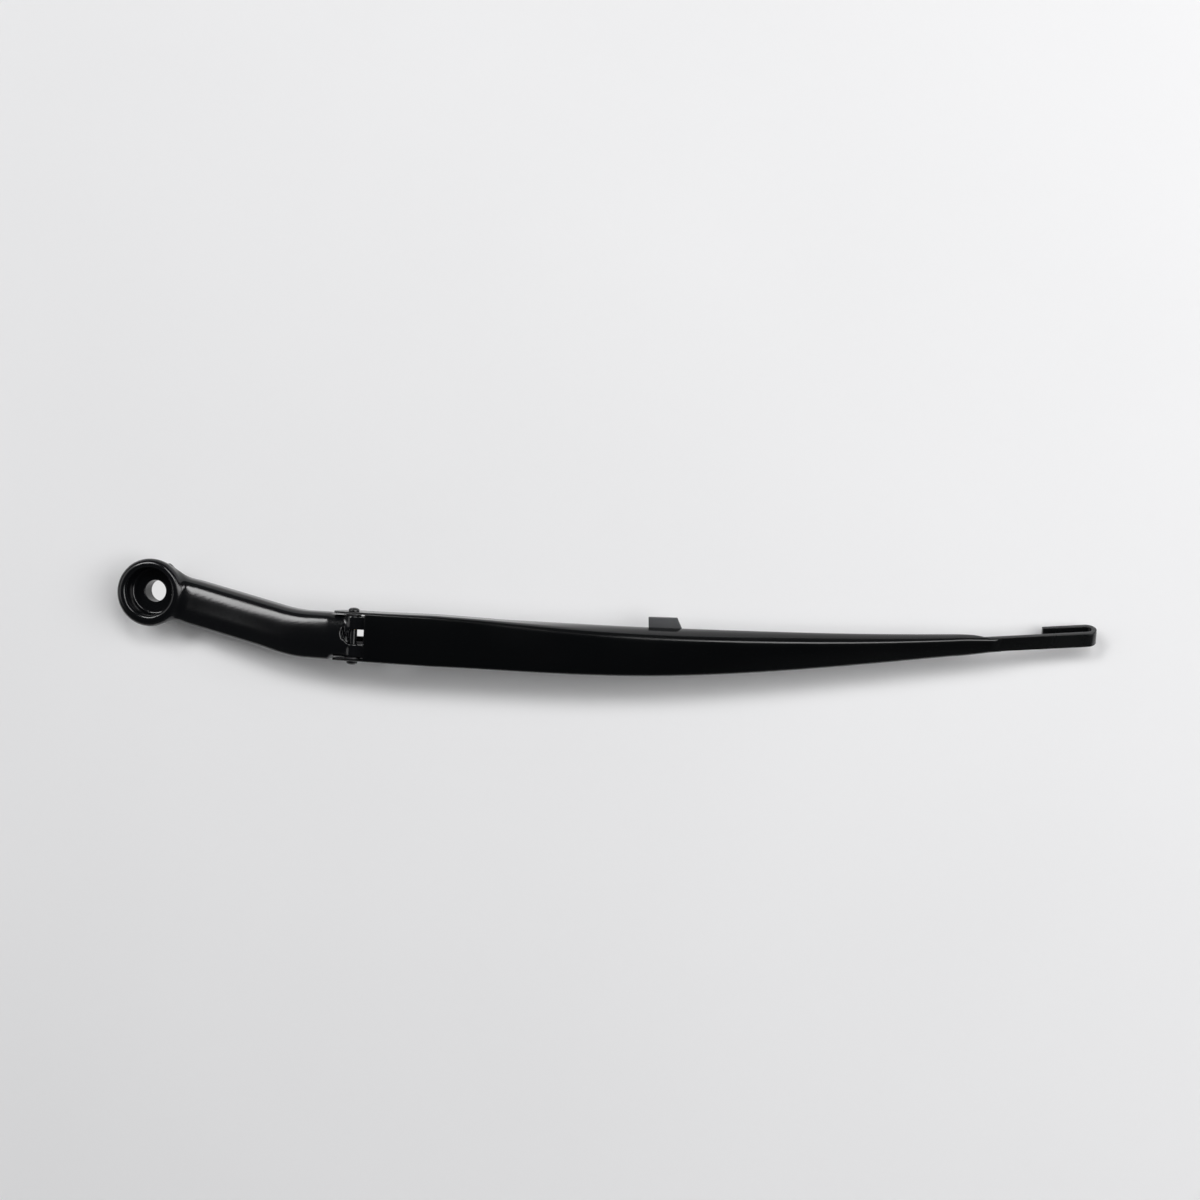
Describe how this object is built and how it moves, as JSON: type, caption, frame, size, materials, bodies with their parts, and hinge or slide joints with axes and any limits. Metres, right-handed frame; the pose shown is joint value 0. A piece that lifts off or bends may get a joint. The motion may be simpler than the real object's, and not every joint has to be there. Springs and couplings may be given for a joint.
{
  "type": "wiper arm",
  "caption": "Windscreen wiper arm: cast head with spindle bore and nut recess, sprung hinge, tapered pressed-steel channel and flat bar ending in a J-hook.",
  "frame": {"origin": "on the spindle axis at the foot of the boss", "axes": "+Z along the spindle axis out of the nut recess, +X along the channel from the hinge towards the hook, the hinge pin parallel to Y"},
  "size_m": [0.6028, 0.058, 0.0315],
  "materials": {
    "head_paint": "gloss black paint on die-cast metal",
    "channel_paint": "gloss black paint on pressed steel",
    "bar_paint": "semi-gloss black paint on flat steel",
    "pin_paint": "gloss black paint on a riveted pin",
    "bronze": "sintered bronze",
    "washer_nylon": "natural nylon",
    "plated_steel": "zinc plate",
    "link_steel": "dark phosphated steel",
    "spring_steel": "oiled spring steel",
    "clip_nylon": "moulded matte nylon"
  },
  "bodies": {
    "head": {"head": "head_paint", "hinge_bush_left": "bronze", "hinge_bush_right": "bronze", "friction_washer_left": "washer_nylon", "friction_washer_right": "washer_nylon", "anchor_pin": "plated_steel"},
    "arm": {"channel": "channel_paint", "hinge_pin": "pin_paint", "spring_bracket": "link_steel", "hook_bar": "bar_paint", "hose_clip": "clip_nylon"},
    "link": {"spring_link": "link_steel", "tension_spring": "spring_steel"}
  },
  "joints": [
    {"name": "arm_hinge", "type": "hinge", "parent": "head", "child": "arm", "pos_m": [0.13455, -0.01934, 0.025], "axis": [0, -1, 0], "range_deg": [0, 80], "stiffness_Nm_per_rad": 0.6, "springref_deg": -91.67, "deforming": ["tension_spring"]},
    {"name": "link_pivot", "type": "hinge", "parent": "head", "child": "link", "pos_m": [0.12853, -0.01934, 0.01831], "axis": [0, -1, 0], "range_deg": [0, 76]}
  ],
  "couplings": [
    {"joint": "link_pivot", "follows": "arm_hinge", "ratio": 0.943}
  ]
}
